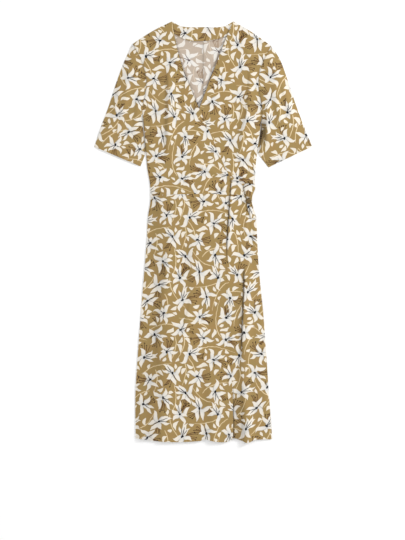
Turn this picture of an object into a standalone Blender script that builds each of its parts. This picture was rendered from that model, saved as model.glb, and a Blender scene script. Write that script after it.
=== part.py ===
"""A midi wrap dress, laid flat on its back with its panels lying on each other.

Metres, +Z up, +Y towards the neck, +X towards the wearer's left sleeve. The origin is under the
middle of the dress, on the surface that it lies on. Sizes in the tables are millimetres.
"""

import math
from collections import namedtuple

import bmesh
import bpy
from mathutils import Vector

MM = 0.001

# Cloth and spacing
WALL = 1.2  # thickness of one layer of cloth
SEAM_GAP = 0.3  # clearance between neighbouring pieces
LAYER_GAP = 0.8  # room between the under front and the over front
TIE_WALL = 1.8  # the tie is folded double

# Levels of the undersides above the surface
BACK_LEVEL = 0.0
FRONT_LEVEL = WALL + SEAM_GAP
OVER_LEVEL = FRONT_LEVEL + WALL + LAYER_GAP
TIE_LEVEL = FRONT_LEVEL + WALL + 0.4

# Main points of the cut: (across, height)
NECK_PEAK = {"left": (-89.4, 602.0), "right": (85.1, 602.0)}
SHOULDER_TIP = {"left": (-201.0, 538.0), "right": (194.0, 532.0)}
UNDERARM = {"left": (-175.0, 355.0), "right": (171.0, 352.0)}
ARMHOLE_BOW = 24.0  # how far the armhole curves in from the straight line
SHOULDER_BOW = 4.0
WAIST_HEIGHT = 109.0
WAIST_DROP = 6.0  # the waist seam falls this much towards the side seams
UNDERLAP_WAIST = -100.0  # the under front's hidden edge, at the waist and at the hem
UNDERLAP_HEM = -84.0
BACK_HEM = -586.0

Section = namedtuple("Section", "height left right")
Point = namedtuple("Point", "at value")
SleeveSection = namedtuple("SleeveSection", "along outer_x outer_y inner_x inner_y")
Fold = namedtuple("Fold", "top_x top_y foot_x foot_y reach rise")

# Side seams of the body, from the underarm to the hem
OUTLINE = [
    Section(355, -175, 171),
    Section(229, -164, 154),
    Section(183, -160, 149),
    Section(135, -152, 147),
    Section(88, -151, 139),
    Section(43, -158, 151),
    Section(-22, -161, 154),
    Section(-108, -168, 159),
    Section(-228, -178, 171),
    Section(-348, -187, 180),
    Section(-469, -194, 188),
    Section(-590, -193, 197),
]

# Edge of the over front, from its neck peak past the tie's corner to the hem
OVER_EDGE = [
    Point(-587, 85),
    Point(-471, 84),
    Point(-270, 72),
    Point(-60, 65),
    Point(49, 71),
    Point(148, 78),
    Point(166, 71),
    Point(181, 64),
    Point(354, -12),
    Point(401, -32),
    Point(492, -66),
    Point(564, -83),
    Point(602, -89.4),
]

# Neck edge of the under front, hidden below the point where the fronts cross
UNDER_NECK = [
    Point(109, UNDERLAP_WAIST),
    Point(362, -8),
    Point(504, 46),
    Point(602, 85.1),
]

# Top edge of the back between the neck peaks, and the lower edge of its facing
BACK_NECK = [
    Point(-89.4, 602),
    Point(-61, 588),
    Point(0, 586),
    Point(59, 588),
    Point(85.1, 602),
]
FACING_LOWER = [
    Point(-86.5, 569),
    Point(-49, 550),
    Point(-14, 546),
    Point(30, 550),
    Point(69, 561),
]

# Hem of the over front and of the under front
OVER_HEM = [
    Point(-193, -589),
    Point(-135, -597),
    Point(-89, -600),
    Point(-12, -597),
    Point(5, -591),
    Point(25, -597),
    Point(62, -600),
    Point(85, -591),
]
UNDER_HEM = [
    Point(-84, -586),
    Point(60, -586),
    Point(86, -588),
    Point(102, -594),
    Point(117, -602),
    Point(140, -598),
    Point(152, -593),
    Point(197, -592),
]

# Sleeves, from the armhole (0) to the hem (1)
SLEEVES = {
    "left": [
        SleeveSection(0.00, -201, 538, -175.6, 355),
        SleeveSection(0.18, -224, 492, -174.8, 330),
        SleeveSection(0.40, -249, 424, -172.8, 298),
        SleeveSection(0.62, -272, 355, -169.4, 264),
        SleeveSection(0.84, -297, 287, -166.0, 229),
        SleeveSection(1.00, -311, 244, -179.5, 188),
    ],
    "right": [
        SleeveSection(0.00, 194, 532, 171.8, 352),
        SleeveSection(0.18, 220, 492, 170.0, 328),
        SleeveSection(0.40, 243, 429, 166.4, 296),
        SleeveSection(0.62, 268, 355, 161.6, 262),
        SleeveSection(0.84, 294, 287, 156.8, 229),
        SleeveSection(1.00, 311, 245, 186.5, 185),
    ],
}

# Largest soft folds of the front layers: a ridge runs from its top to its foot
FOLDS = [
    Fold(-108, 470, -111, 205, 20, 4.0),
    Fold(126, 462, 99, 225, 20, 4.0),
    Fold(-104, -20, -124, -470, 26, 4.0),
    Fold(-45, -190, -70, -330, 22, 3.0),
    Fold(117, -105, 108, -350, 20, 5.0),
    Fold(118, -400, 127, -660, 24, 8.0),
    Fold(14, -480, 4, -660, 22, 4.0),
    Fold(-178, -440, -190, -660, 22, 4.0),
]
SLEEVE_FOLDS = [
    Fold(-206, 470, -236, 250, 20, 3.5),
    Fold(196, 440, 214, 240, 20, 3.5),
    Fold(178, 340, 176, 240, 12, 4.0),
]

# The tie: strap, folded loop, knot and free end on the wearer's left side
TIE_LOOP = [
    Section(95.5, 124, 134),
    Section(105, 120, 140),
    Section(118, 116, 146),
    Section(129, 114, 149),
    Section(135, 116, 148),
    Section(138.5, 121, 143),
]
TIE_END = [
    Section(81, 124, 135),
    Section(66, 127, 141),
    Section(52, 131, 147),
    Section(40, 135, 151),
]
KNOT_CENTRE = (129.0, 88.0)
KNOT_SIZE = (17.0, 13.0, 7.5)
CAGE_TO_KNOT = 1.25  # subdivision shrinks the knot's cage by about this much
STRAP_LEFT = (147.0, 164.0)  # lower and upper height of the strap where it is sewn on
STRAP_RIGHT = (139.6, 153.0)  # and where it reaches the loop
STRAP_SPAN = (78.0, 132.0)
LOOP_CROWN = 2.0
LOOP_CENTRE = 131.0
LOOP_HALF_WIDTH = 18.0

# Grid fineness
SIDE_STEPS = 5
ARMHOLE_STEPS = 6
SKIRT_ROWS = 14
SKIRT_COLUMNS = 14
PANEL_STEPS = 8
SLEEVE_STEPS = 9


def clear_scene():
    for old in list(bpy.data.objects):
        bpy.data.objects.remove(old, do_unlink=True)


def smooth_step(value):
    inside = min(max(value, 0.0), 1.0)
    return inside * inside * (3 - 2 * inside)


def mix(start, end, share):
    return start + (end - start) * share


def curve_at(points, at):
    """Value of the smooth curve through (at, value) points, straight on past both ends."""
    points = sorted(points)
    last = len(points) - 2
    index = min(max(sum(point[0] <= at for point in points) - 1, 0), last)

    def slope(near):
        low = max(near - 1, 0)
        high = min(near + 1, len(points) - 1)
        return (points[high][1] - points[low][1]) / (points[high][0] - points[low][0])

    (start, first), (end, second) = points[index], points[index + 1]
    width = end - start
    share = min(max((at - start) / width, 0.0), 1.0)
    rest = 1 - share
    return (
        first * rest * rest * (1 + 2 * share)
        + second * share * share * (1 + 2 * rest)
        + slope(index) * width * share * rest * rest
        - slope(index + 1) * width * share * share * rest
    )


def column(table, at_name, value_name):
    return [(getattr(row, at_name), getattr(row, value_name)) for row in table]


def side_seam(side, height):
    return curve_at(column(OUTLINE, "height", side), height)


def waist_height(across):
    return WAIST_HEIGHT - WAIST_DROP * (across / 150) ** 2


def over_edge(height):
    return curve_at(OVER_EDGE, height)


def under_edge(height):
    """Free edge of the under front: the neck edge above the waist, the underlap below it."""
    if height >= WAIST_HEIGHT:
        return curve_at(UNDER_NECK, height)
    return mix(UNDERLAP_HEM, UNDERLAP_WAIST, (height - BACK_HEM) / (WAIST_HEIGHT - BACK_HEM))


def armhole(side, share):
    """Point of the armhole seam, from the underarm (0) to the shoulder tip (1)."""
    (low_x, low_y), (high_x, high_y) = UNDERARM[side], SHOULDER_TIP[side]
    inwards = 1 if side == "left" else -1
    bow = inwards * ARMHOLE_BOW * math.sin(math.pi * share)
    return mix(low_x, high_x, share) + bow, mix(low_y, high_y, share)


def shoulder_height(side, across):
    (tip_x, tip_y), (peak_x, peak_y) = SHOULDER_TIP[side], NECK_PEAK[side]
    share = (across - tip_x) / (peak_x - tip_x)
    return mix(tip_y, peak_y, share) + SHOULDER_BOW * math.sin(math.pi * share)


def back_top(across):
    if across < NECK_PEAK["left"][0]:
        return shoulder_height("left", across)
    if across > NECK_PEAK["right"][0]:
        return shoulder_height("right", across)
    return curve_at(BACK_NECK, across)


def lift(folds, across, height):
    """How far the folds raise the cloth at a place."""
    raised = 0.0
    for fold in folds:
        axis_x, axis_y = fold.foot_x - fold.top_x, fold.foot_y - fold.top_y
        length = math.hypot(axis_x, axis_y)
        from_x, from_y = across - fold.top_x, height - fold.top_y
        along = (from_x * axis_x + from_y * axis_y) / length
        aside = abs(from_x * axis_y - from_y * axis_x) / length
        if aside < fold.reach and 0 < along < length:
            ends = smooth_step(along / 60) * smooth_step((length - along) / 60)
            raised += fold.rise * ends * math.cos(math.pi * aside / fold.reach / 2) ** 2
    return raised


def back_underside(across, height):
    return BACK_LEVEL


def under_underside(across, height):
    """The under front lies flat below the over front and under the tie, and folds elsewhere."""
    shown = smooth_step((across - over_edge(height) - 4) / 14)
    clear_of_tie = smooth_step(abs(height - 100) / 30 - 2.2)
    return FRONT_LEVEL + lift(FOLDS, across, height) * shown * clear_of_tie


def over_underside(across, height):
    """The over front steps up where the under front starts below it."""
    step = smooth_step((across - under_edge(height) + 30) / 27)
    return mix(FRONT_LEVEL, OVER_LEVEL, step) + lift(FOLDS, across, height)


def tie_underside(across, height):
    return TIE_LEVEL


def between(left_edge, right_edge, bottom, top, underside):
    """Places a panel's points between its two side edges and its bottom and top curves."""

    def place(across_share, up_share):
        left, right = left_edge(up_share), right_edge(up_share)
        across = mix(left[0], right[0], across_share)
        height = mix(left[1], right[1], across_share)
        low = [mix(a, b, across_share) for a, b in zip(left_edge(0), right_edge(0))]
        high = [mix(a, b, across_share) for a, b in zip(left_edge(1), right_edge(1))]
        height += (1 - up_share) * (bottom(low[0]) - low[1])
        height += up_share * (top(high[0]) - high[1])
        return across, height, underside(across, height)

    return place


def steps(count):
    return [index / count for index in range(count + 1)]


def cloth_material(name, colour):
    material = bpy.data.materials.new(name)
    material.use_nodes = True
    shader = material.node_tree.nodes["Principled BSDF"]
    shader.inputs["Base Color"].default_value = (*colour, 1)
    shader.inputs["Roughness"].default_value = 0.85
    shader.inputs["Metallic"].default_value = 0.0
    return material


def add_object(name, mesh, colour, dress):
    piece = bpy.data.objects.new(name, mesh)
    dress.objects.link(piece)
    mesh.materials.append(cloth_material(name, colour))
    mesh.shade_smooth()
    mesh.set_sharp_from_angle(angle=math.radians(50))
    return piece


def sheet_piece(name, place, across_steps, up_steps, colour, dress, wall=WALL):
    """A panel of cloth: an open grid given its wall upwards by Solidify."""
    shape = bmesh.new()
    grid = [
        [shape.verts.new(Vector(place(share, up)) * MM) for share in across_steps]
        for up in up_steps
    ]
    for lower, upper in zip(grid, grid[1:]):
        for index in range(len(lower) - 1):
            shape.faces.new((lower[index], lower[index + 1], upper[index + 1], upper[index]))
    mesh = bpy.data.meshes.new(name)
    shape.to_mesh(mesh)
    shape.free()
    piece = add_object(name, mesh, colour, dress)
    solidify = piece.modifiers.new("Wall", "SOLIDIFY")
    solidify.thickness = wall * MM
    solidify.offset = 1
    return piece


def body_edge(side):
    """Side seam from the waist to the underarm (0 to 0.5), then the armhole (0.5 to 1)."""

    def edge(up_share):
        if up_share <= 0.5:
            foot = waist_height(side_seam(side, WAIST_HEIGHT)) + SEAM_GAP / 2
            height = mix(foot, UNDERARM[side][1], up_share * 2)
            return side_seam(side, height), height
        return armhole(side, up_share * 2 - 1)

    return edge


def front_neck_edge(edge_at, waist_across):
    """Free edge of a front bodice, level with the underarm half way up."""

    def edge(up_share):
        foot = waist_height(waist_across) + SEAM_GAP / 2
        middle = UNDERARM["left"][1]
        if up_share <= 0.5:
            height = mix(foot, middle, up_share * 2)
        else:
            height = mix(middle, NECK_PEAK["left"][1], up_share * 2 - 1)
        return edge_at(height), height

    return edge


def centre_back_edge(across):
    def edge(up_share):
        foot = waist_height(across) + SEAM_GAP / 2
        middle = UNDERARM["left"][1]
        if up_share <= 0.5:
            return across, mix(foot, middle, up_share * 2)
        return across, mix(middle, back_top(across), up_share * 2 - 1)

    return edge


def bodice_waist(across):
    return waist_height(across) + SEAM_GAP / 2


def skirt_waist(across):
    return waist_height(across) - SEAM_GAP / 2


def bodice_rows():
    lower = [index / SIDE_STEPS / 2 for index in range(SIDE_STEPS)]
    return lower + [0.5 + index / ARMHOLE_STEPS / 2 for index in range(ARMHOLE_STEPS + 1)]


def steps_with(corner, count):
    """Even steps from 0 to 1, with one of them moved onto the corner."""
    shares = steps(count)
    nearest = min(range(1, count), key=lambda index: abs(shares[index] - corner))
    shares[nearest] = corner
    return shares


def make_back_bodice(dress, colour):
    for side, sign in (("left", -1), ("right", 1)):
        seam = centre_back_edge(sign * SEAM_GAP / 2)
        tip_x, peak_x = SHOULDER_TIP[side][0], NECK_PEAK[side][0]
        if side == "left":
            edges = (body_edge(side), seam)
            corner = (peak_x - tip_x) / -tip_x
        else:
            edges = (seam, body_edge(side))
            corner = peak_x / tip_x
        place = between(*edges, bodice_waist, back_top, back_underside)
        shares = steps_with(corner, PANEL_STEPS)
        sheet_piece("back_bodice_" + side, place, shares, bodice_rows(), colour, dress)


def make_front_bodice(dress, over_colour, under_colour):
    place = between(
        body_edge("left"),
        front_neck_edge(over_edge, over_edge(WAIST_HEIGHT)),
        bodice_waist,
        lambda across: shoulder_height("left", across),
        over_underside,
    )
    rows = bodice_rows()
    sheet_piece("front_bodice_over", place, steps(PANEL_STEPS), rows, over_colour, dress)
    place = between(
        front_neck_edge(under_edge, UNDERLAP_WAIST),
        body_edge("right"),
        bodice_waist,
        lambda across: shoulder_height("right", across),
        under_underside,
    )
    sheet_piece("front_bodice_under", place, steps(PANEL_STEPS), rows, under_colour, dress)


def skirt_edge(across_at, hem):
    """Edge of a skirt panel, from the hem up to the waist."""

    def edge(up_share):
        low = hem(across_at(BACK_HEM))
        high = skirt_waist(across_at(WAIST_HEIGHT))
        height = mix(low, high, up_share)
        return across_at(height), height

    return edge


def left_seam(height):
    return side_seam("left", height)


def right_seam(height):
    return side_seam("right", height)


def back_hem(across):
    return BACK_HEM


def over_hem(across):
    return curve_at(OVER_HEM, across)


def under_hem(across):
    return curve_at(UNDER_HEM, across)


def make_skirt_panel(name, start, end, hem, underside, colour, dress):
    edges = (skirt_edge(start, hem), skirt_edge(end, hem))
    place = between(*edges, hem, skirt_waist, underside)
    sheet_piece(name, place, steps(SKIRT_COLUMNS), steps(SKIRT_ROWS), colour, dress)


def make_skirt(dress, back_colour, over_colour, under_colour):
    make_skirt_panel(
        "back_skirt", left_seam, right_seam, back_hem, back_underside, back_colour, dress
    )
    make_skirt_panel(
        "front_skirt_over", left_seam, over_edge, over_hem, over_underside, over_colour, dress
    )
    make_skirt_panel(
        "front_skirt_under", under_edge, right_seam, under_hem, under_underside, under_colour, dress
    )


def make_facing(dress, colour):
    """Shaped band inside the back neck, between the two front edges."""

    def edge(edge_at, sign, low):
        def at(up_share):
            height = mix(low, NECK_PEAK["left"][1] - 2, up_share)
            return edge_at(height) + sign * 2 * SEAM_GAP, height

        return at

    place = between(
        edge(over_edge, 1, FACING_LOWER[0].value),
        edge(under_edge, -1, FACING_LOWER[-1].value),
        lambda across: curve_at(FACING_LOWER, across),
        lambda across: curve_at(BACK_NECK, across) - SEAM_GAP,
        lambda across, height: FRONT_LEVEL,
    )
    sheet_piece("back_neck_facing", place, steps(PANEL_STEPS + 2), steps(3), colour, dress)


def sleeve_ring(side, along, inset, low, high):
    """Closed loop round the flattened sleeve: lower layer, outer fold, upper layer, inner fold."""
    table = SLEEVES[side]
    names = ("inner_x", "inner_y", "outer_x", "outer_y")
    inner_x, inner_y, outer_x, outer_y = [
        curve_at(column(table, "along", name), along) for name in names
    ]
    inwards = 1 if side == "left" else -1
    width = math.hypot(outer_x - inner_x, outer_y - inner_y)
    bow = inwards * ARMHOLE_BOW * (1 - along) ** 2

    def spot(share, level, raised):
        across = mix(inner_x, outer_x, share) + bow * math.sin(math.pi * share)
        across -= inwards * SEAM_GAP
        height = mix(inner_y, outer_y, share)
        top = lift(SLEEVE_FOLDS, across, height) * raised
        return Vector((across, height, level + top)) * MM

    edge = inset / width
    corner = (inset + 1) / width
    shares = [min(max(share, corner), 1 - corner) for share in steps(ARMHOLE_STEPS)]
    middle = (low + high) / 2
    lower = [spot(share, low, 0) for share in shares]
    upper = [spot(share, high, 1) for share in reversed(shares)]
    return lower + [spot(1 - edge, middle, 0)] + upper + [spot(edge, middle, 0)]


def make_sleeve(side, dress, colour):
    """A tube pressed flat, open at the armhole and at the hem."""
    full = 2 * WALL + 2 * SEAM_GAP
    shape = bmesh.new()
    rings = []
    for along in steps(SLEEVE_STEPS):
        outside = sleeve_ring(side, along, 0.0, 0.0, full)
        inside = sleeve_ring(side, along, WALL, WALL, full - WALL)
        rings.append([[shape.verts.new(spot) for spot in loop] for loop in (outside, inside)])
    count = len(rings[0][0])
    for index in range(count):
        after = (index + 1) % count
        for near, far in zip(rings, rings[1:]):
            shape.faces.new((near[0][index], near[0][after], far[0][after], far[0][index]))
            shape.faces.new((near[1][after], near[1][index], far[1][index], far[1][after]))
        first, last = rings[0], rings[-1]
        shape.faces.new((first[0][after], first[0][index], first[1][index], first[1][after]))
        shape.faces.new((last[0][index], last[0][after], last[1][after], last[1][index]))
    bmesh.ops.recalc_face_normals(shape, faces=shape.faces)
    mesh = bpy.data.meshes.new("sleeve_" + side)
    shape.to_mesh(mesh)
    shape.free()
    add_object("sleeve_" + side, mesh, colour, dress)


def band_edges(table):
    """Left and right edges of a short band given by its sections."""
    heights = [section.height for section in table]

    def edge(side):
        def at(up_share):
            height = mix(min(heights), max(heights), up_share)
            return curve_at(column(table, "height", side), height), height

        return at

    return edge("left"), edge("right")


def make_tie_strap(dress, colour):
    """Flat strap from the over front's corner to the loop."""

    def left_end(up_share):
        height = mix(*STRAP_LEFT, up_share)
        return over_edge(height) + 3 * SEAM_GAP, height

    def right_end(up_share):
        return STRAP_SPAN[1], mix(*STRAP_RIGHT, up_share)

    def strap_edge(which):
        def at(across):
            share = (across - STRAP_SPAN[0]) / (STRAP_SPAN[1] - STRAP_SPAN[0])
            return mix(STRAP_LEFT[which], STRAP_RIGHT[which], smooth_step(share))

        return at

    place = between(left_end, right_end, strap_edge(0), strap_edge(1), tie_underside)
    sheet_piece("tie_strap", place, steps(6), steps(3), colour, dress, TIE_WALL)


def loop_underside(across, height):
    crown = 1 - ((across - LOOP_CENTRE) / LOOP_HALF_WIDTH) ** 2
    return TIE_LEVEL + LOOP_CROWN * max(crown, 0)


def make_tie_band(name, table, underside, columns, rows, dress, colour):
    heights = [section.height for section in table]
    place = between(
        *band_edges(table), lambda across: min(heights), lambda across: max(heights), underside
    )
    sheet_piece(name, place, steps(columns), steps(rows), colour, dress, TIE_WALL)


def make_tie_knot(dress, colour):
    shape = bmesh.new()
    bmesh.ops.create_cube(shape, size=1)
    bmesh.ops.scale(shape, vec=Vector(KNOT_SIZE) * MM * CAGE_TO_KNOT, verts=shape.verts)
    middle = Vector((*KNOT_CENTRE, TIE_LEVEL + SEAM_GAP + KNOT_SIZE[2] / 2))
    bmesh.ops.translate(shape, vec=middle * MM, verts=shape.verts)
    mesh = bpy.data.meshes.new("tie_knot")
    shape.to_mesh(mesh)
    shape.free()
    knot = add_object("tie_knot", mesh, colour, dress)
    rounding = knot.modifiers.new("Rounding", "SUBSURF")
    rounding.levels = 2
    rounding.render_levels = 2


def main():
    clear_scene()
    dress = bpy.data.collections.new("wrap_dress")
    bpy.context.scene.collection.children.link(dress)
    tan, deep_tan, pale = (0.38, 0.26, 0.12), (0.33, 0.22, 0.10), (0.60, 0.47, 0.38)
    make_back_bodice(dress, pale)
    make_front_bodice(dress, tan, deep_tan)
    make_skirt(dress, pale, tan, deep_tan)
    make_facing(dress, tan)
    for side in ("left", "right"):
        make_sleeve(side, dress, tan)
    make_tie_strap(dress, deep_tan)
    make_tie_band("tie_loop", TIE_LOOP, loop_underside, 6, 8, dress, deep_tan)
    make_tie_band("tie_end", TIE_END, tie_underside, 3, 5, dress, deep_tan)
    make_tie_knot(dress, deep_tan)


main()
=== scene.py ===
import math
import random
from functools import partial

import bpy
import numpy as np
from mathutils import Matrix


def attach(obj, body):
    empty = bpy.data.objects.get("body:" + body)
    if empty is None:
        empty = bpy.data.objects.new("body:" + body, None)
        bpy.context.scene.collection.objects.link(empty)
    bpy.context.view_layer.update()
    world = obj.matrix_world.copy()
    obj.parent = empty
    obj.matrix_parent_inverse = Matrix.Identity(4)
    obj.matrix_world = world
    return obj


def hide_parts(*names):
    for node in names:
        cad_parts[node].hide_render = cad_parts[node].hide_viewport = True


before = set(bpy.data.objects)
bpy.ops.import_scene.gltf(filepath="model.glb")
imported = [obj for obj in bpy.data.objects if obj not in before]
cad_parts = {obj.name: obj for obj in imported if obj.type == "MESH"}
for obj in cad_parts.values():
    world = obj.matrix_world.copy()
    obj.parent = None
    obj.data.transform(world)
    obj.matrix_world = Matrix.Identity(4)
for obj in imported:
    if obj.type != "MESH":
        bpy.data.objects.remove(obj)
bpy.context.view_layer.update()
print("frame loaded:", len(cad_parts), "cad nodes")

mm = 0.001  # the sizes below are millimetres

# the cloth and how its layers lie
cloth = dict(
    wall=0.7,  # thickness of one layer
    rest=0.15,  # air under the back, above the floor
    gap=0.35,  # air between two layers that touch
    puff=3.2,  # how far the fronts stand off the back, away from the side seams
    puffReach=20,  # and how far in from a seam they take to rise
    sleeveRoom=60,  # taken as the way to the seam past the underarm, where a sleeve goes on
    mesh=3.0,  # size of one face of the panels
    seamGap=0.05,  # between two panels that a seam joins
)

# main points of the cut: across, height
neckPeak = dict(left=(-89.4, 602.0), right=(85.1, 602.0))
shoulderTip = dict(left=(-201.0, 538.0), right=(194.0, 532.0))
underarm = dict(left=(-175.0, 355.0), right=(171.0, 352.0))
armholeBow = 24.0  # how far an armhole curves in
shoulderBow = 4.0  # and a shoulder up
waist = dict(height=109.0, drop=6.0, half=150)  # it drops by that much this far from its middle
underlap = dict(waist=-100.0, hem=-84.0)  # how far across the under front goes below the over front
backHem = -586.0

# side seams from the underarm to the hem: height, left, right
sideRows = [
    (355, -175, 171),
    (229, -164, 154),
    (183, -160, 149),
    (135, -152, 147),
    (88, -151, 139),
    (43, -158, 151),
    (-22, -161, 154),
    (-108, -168, 159),
    (-228, -178, 171),
    (-348, -187, 180),
    (-469, -194, 188),
    (-590, -193, 197),
]

# edge of the over front, from its hem past the tie's corner to its neck peak: height, across
overEdgeRows = [
    (-587, 85),
    (-471, 84),
    (-270, 72),
    (-60, 65),
    (49, 71),
    (148, 78),
    (166, 71),
    (181, 64),
    (354, -12),
    (401, -32),
    (492, -66),
    (564, -83),
    (602, -89.4),
]
underNeckRows = [(109, -100), (362, -8), (504, 46), (602, 85.1)]  # height, across
backNeckRows = [(-89.4, 602), (-61, 588), (0, 586), (59, 588), (85.1, 602)]  # across, height
facingRows = [(-86.5, 569), (-49, 550), (-14, 546), (30, 550), (69, 561)]

# hems: across, height
overHemRows = [
    (-193, -589), (-135, -597), (-89, -600), (-12, -597),
    (5, -592), (25, -597), (62, -600), (85, -591),
]
underHemRows = [
    (-84, -586), (60, -586), (86, -588), (110, -596),
    (126, -602), (146, -594), (197, -592),
]


def smoothStep(value):
    inside = np.clip(value, 0.0, 1.0)
    return inside * inside * (3 - 2 * inside)


def mix(start, end, share):
    return start + (end - start) * share


def curveThrough(rows, at):  # smooth curve through (at, value) rows, level past its ends
    rows = np.array(sorted(rows), float)
    knots, values = rows[:, 0], rows[:, 1]
    slopes = np.empty(len(rows))
    slopes[1:-1] = (values[2:] - values[:-2]) / (knots[2:] - knots[:-2])
    slopes[0] = (values[1] - values[0]) / (knots[1] - knots[0])
    slopes[-1] = (values[-1] - values[-2]) / (knots[-1] - knots[-2])
    at = np.clip(np.asarray(at, float), knots[0], knots[-1])
    low = np.clip(np.searchsorted(knots, at) - 1, 0, len(rows) - 2)
    width = knots[low + 1] - knots[low]
    share = (at - knots[low]) / width
    rest = 1 - share
    return (
        values[low] * rest * rest * (1 + 2 * share)
        + values[low + 1] * share * share * (1 + 2 * rest)
        + slopes[low] * width * share * rest * rest
        - slopes[low + 1] * width * share * share * rest
    )


def columnAt(rows, key, column, at):  # one column of the rows, as a smooth curve over another one
    return curveThrough([(row[key], row[column]) for row in rows], at)


def sideSeam(side, height):
    return columnAt(sideRows, 0, 1 if side == "left" else 2, height)


def waistHeight(across):
    return waist["height"] - waist["drop"] * (np.asarray(across) / waist["half"]) ** 2


def bodiceWaist(across):
    return waistHeight(across) + cloth["seamGap"] / 2


def skirtWaist(across):
    return waistHeight(across) - cloth["seamGap"] / 2


def overEdge(height):
    return curveThrough(overEdgeRows, height)


def underEdge(height):
    height = np.asarray(height, float)
    hidden = mix(underlap["hem"], underlap["waist"], (height - backHem) / (waist["height"] - backHem))
    return np.where(height >= waist["height"], curveThrough(underNeckRows, height), hidden)


def armhole(side, share):  # from the underarm (0) to the shoulder tip (1)
    (lowX, lowY), (highX, highY) = underarm[side], shoulderTip[side]
    bow = (1 if side == "left" else -1) * armholeBow * np.sin(np.pi * share)
    return mix(lowX, highX, share) + bow, mix(lowY, highY, share)


def shoulderHeight(side, across):
    (tipX, tipY), (peakX, peakY) = shoulderTip[side], neckPeak[side]
    share = np.clip((across - tipX) / (peakX - tipX), 0, 1)
    return mix(tipY, peakY, share) + shoulderBow * np.sin(np.pi * share)


def backTop(across):
    across = np.asarray(across, float)
    neck = curveThrough(backNeckRows, across)
    left = np.where(across < neckPeak["left"][0], shoulderHeight("left", across), neck)
    return np.where(across > neckPeak["right"][0], shoulderHeight("right", across), left)


# Long folds of the fronts. Each row is a place on the crest: across, height, rise, and how far
# the fold reaches to its left and to its right. A short left reach makes a crisp line.
overFolds = dict(
    bodice=[(-97, 488, 0, 12, 30), (-98, 440, 3.6, 10, 30), (-99, 330, 4.4, 9, 34),
            (-102, 235, 3.2, 11, 30), (-106, 185, 0, 14, 30)],
    sideBodice=[(-150, 330, 0, 9, 16), (-147, 290, 1.6, 9, 18), (-143, 215, 0, 9, 18)],
    skirt=[(-92, 20, 0, 14, 34), (-97, -40, 1.8, 14, 38), (-111, -171, 2.8, 15, 42),
           (-127, -314, 3.0, 16, 44), (-115, -408, 2.4, 15, 40), (-116, -500, 2.4, 16, 40),
           (-118, -604, 3.2, 17, 42)],
    skirtMiddle=[(-30, -165, 0, 10, 26), (-39, -215, 2.6, 9, 30), (-60, -300, 2.8, 9, 30),
                 (-72, -380, 0, 12, 26)],
    hemFlute=[(30, -440, 0, 20, 24), (28, -520, 2.0, 18, 26), (32, -604, 3.6, 20, 26)],
    hemSide=[(-184, -400, 0, 9, 20), (-182, -470, 3.0, 9, 26), (-178, -604, 4.0, 10, 28)],
)
underFolds = dict(
    bodice=[(136, 478, 0, 12, 24), (134, 430, 3.8, 10, 28), (126, 350, 4.4, 9, 30),
            (112, 270, 4.0, 10, 30), (104, 205, 0, 12, 26)],
    wrapLine=[(80.5, 150, 3.0, 3, 26), (77, 100, 5.0, 3.4, 34), (74.5, 49, 5.4, 3.4, 38),
              (70.5, -10, 4.6, 3.4, 36), (69.5, -60, 2.2, 4.0, 30), (71, -105, 0, 8, 26)],
    deepFold=[(121, -86, 0, 4, 20), (119.5, -116, 4.4, 3.2, 26), (118.0, -171, 5.8, 3.0, 30),
              (114.5, -250, 6.4, 3.0, 32), (112.5, -311, 5.8, 3.4, 32), (111, -350, 4.0, 7, 30),
              (108, -392, 3.6, 14, 28), (116, -470, 4.6, 20, 28), (124, -540, 6.4, 22, 26),
              (128, -604, 8.4, 24, 24)],
    hip=[(150, 40, 0, 9, 10), (149, -20, 1.8, 10, 12), (153, -110, 0, 10, 12)],
)
# Short creases: start across and height, end across and height, reach, rise.
overCreases = [
    (66, 150, -30, 206, 13, 1.5),
    (70, 128, -62, 160, 15, 1.4),
    (40, 205, -40, 282, 12, 1.1),
    (60, 92, -10, 40, 15, 1.4),
    (20, 98, -8, 20, 12, 1.2),
    (-70, 100, -78, 30, 12, 1.3),
    (-128, 102, -122, 40, 11, 1.3),
    (-160, 470, -120, 540, 12, 1.4),
    (-20, -420, -28, -540, 18, 1.6),
]
underCreases = [
    (127, 78, 96, 10, 9, 2.2),
    (130, 74, 118, -30, 8, 1.9),
    (122, 84, 88, 40, 8, 1.8),
    (134, 74, 142, 0, 6, 1.4),
    (120, 170, 100, 230, 11, 1.6),
    (138, 168, 132, 236, 8, 1.4),
    (150, 480, 110, 545, 12, 1.4),
    (160, -150, 168, -300, 14, 1.6),
    (176, -430, 182, -560, 14, 2.0),
]


def foldLift(folds, across, height):
    lift = np.zeros(np.shape(across))
    for rows in folds.values():
        crest, rise, left, right = (columnAt(rows, 1, column, height) for column in (0, 2, 3, 4))
        aside = across - crest
        reach = np.where(aside < 0, left, right)
        shape = np.cos(np.pi / 2 * np.clip(np.abs(aside) / reach, 0, 1)) ** 2
        ends = [row[1] for row in rows]
        inside = (height <= max(ends)) & (height >= min(ends))
        lift += np.where(inside, np.maximum(rise, 0) * shape, 0)
    return lift


def creaseLift(creases, across, height):
    lift = np.zeros(np.shape(across))
    for startX, startY, endX, endY, reach, rise in creases:
        alongX, alongY = endX - startX, endY - startY
        length = math.hypot(alongX, alongY)
        share = ((across - startX) * alongX + (height - startY) * alongY) / length**2
        aside = np.abs((across - startX) * alongY - (height - startY) * alongX) / length
        ends = smoothStep(share / 0.3) * smoothStep((1 - share) / 0.4)
        lift += rise * ends * np.cos(np.pi / 2 * np.clip(aside / reach, 0, 1)) ** 2
    return lift


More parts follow.
